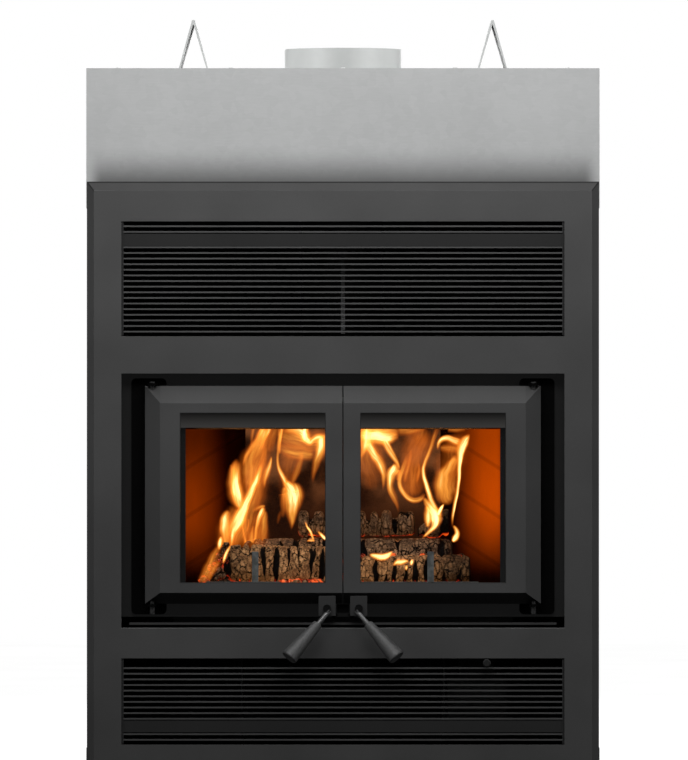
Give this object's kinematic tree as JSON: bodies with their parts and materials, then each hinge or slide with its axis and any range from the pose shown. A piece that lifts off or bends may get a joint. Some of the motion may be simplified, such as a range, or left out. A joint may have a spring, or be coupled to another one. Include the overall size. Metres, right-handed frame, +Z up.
{
  "type": "zero clearance fireplace",
  "caption": "Built-in wood fireplace: galvanised casing with chimney collar, black louvred faceplate, and hinged glass doors with latch handles in front of a brick-lined firebox.",
  "frame": {"origin": "middle of the underside of the base tray", "axes": "+X to the right seen from the front, +Y to the back, +Z up"},
  "size_m": [0.953, 0.7357, 1.4],
  "materials": {
    "galvanised": "satin zinc-coated sheet",
    "black_sheet": "matt black paint",
    "faceplate_black": "satin charcoal black paint",
    "louvre_black": "satin black paint",
    "firebox_black": "matt high-temperature black paint",
    "bracket_black": "matt black paint",
    "raw_steel": "heat-darkened steel plate",
    "flue_steel": "rolled stainless sheet",
    "screw_steel": "zinc-plated steel",
    "mineral_wool": "pressed mineral fibre",
    "firebrick": "rough pressed firebrick",
    "baffle": "pressed ceramic board",
    "log_bark": "charred bark and split wood",
    "knob_black": "matt black moulding",
    "door_black": "satin charcoal black paint on cast iron",
    "door_glass": "clear ceramic glass",
    "gasket": "knitted glass fibre rope",
    "latch_black": "satin black paint",
    "grip_grey": "satin dark grey coating"
  },
  "bodies": {
    "casing": {"base_pan": "black_sheet", "side_panel_left": "galvanised", "side_panel_right": "galvanised", "header_panel": "galvanised", "rear_panel": "galvanised", "top_panel": "galvanised", "chimney_collar": "galvanised", "flue_pipe": "flue_steel", "standoff_left": "galvanised", "standoff_right": "galvanised", "nailing_tabs": "galvanised", "casing_screws": "screw_steel", "air_jacket": "black_sheet", "insulation": "mineral_wool", "firebox_stands": "raw_steel", "firebox_shell": "raw_steel", "firebox_front": "firebox_black", "ash_ledge": "firebox_black", "hinge_bracket_left": "bracket_black", "hinge_bracket_right": "bracket_black", "hinge_pins": "screw_steel", "latch_catch": "firebox_black", "floor_brick": "firebrick", "side_brick_left": "firebrick", "side_brick_right": "firebrick", "rear_brick": "firebrick", "baffle_board": "baffle", "air_tubes": "raw_steel", "air_wash_plate": "firebox_black", "log_retainer": "raw_steel", "firewood": "log_bark", "faceplate": "faceplate_black", "upper_louvre_frame": "louvre_black", "upper_slats": "louvre_black", "lower_louvre_frame": "louvre_black", "lower_slats": "louvre_black", "outside_air_collar": "galvanised", "air_duct": "black_sheet"},
    "air_control": {"air_rod": "screw_steel", "air_knob": "knob_black", "air_gate": "screw_steel"},
    "left_door": {"left_door_frame": "door_black", "left_door_glass": "door_glass", "left_glass_gasket": "gasket", "left_glass_retainer": "screw_steel", "left_door_rope": "gasket", "left_latch_block": "latch_black"},
    "right_door": {"right_door_frame": "door_black", "right_door_glass": "door_glass", "right_glass_gasket": "gasket", "right_glass_retainer": "screw_steel", "right_door_rope": "gasket", "right_latch_block": "latch_black"},
    "left_handle": {"left_handle_shaft": "latch_black", "left_latch_cam": "screw_steel", "left_handle_grip": "grip_grey"},
    "right_handle": {"right_handle_shaft": "latch_black", "right_latch_cam": "screw_steel", "right_handle_grip": "grip_grey"}
  },
  "joints": [
    {"name": "left_door_hinge", "type": "hinge", "parent": "casing", "child": "left_door", "pos_m": [-0.3535, -0.323, 0.511], "axis": [0, 0, -1], "range_deg": [0, 110]},
    {"name": "right_door_hinge", "type": "hinge", "parent": "casing", "child": "right_door", "pos_m": [0.3535, -0.323, 0.511], "axis": [0, 0, 1], "range_deg": [0, 110]},
    {"name": "left_handle_turn", "type": "hinge", "parent": "left_door", "child": "left_handle", "pos_m": [-0.0295, -0.33, 0.301], "axis": [0, -1, 0], "range_deg": [-49, 41]},
    {"name": "right_handle_turn", "type": "hinge", "parent": "right_door", "child": "right_handle", "pos_m": [0.0295, -0.33, 0.301], "axis": [0, 1, 0], "range_deg": [-49, 41]},
    {"name": "air_control_slide", "type": "slide", "parent": "casing", "child": "air_control", "axis": [0, -1, 0], "range_m": [0, 0.045]}
  ]
}
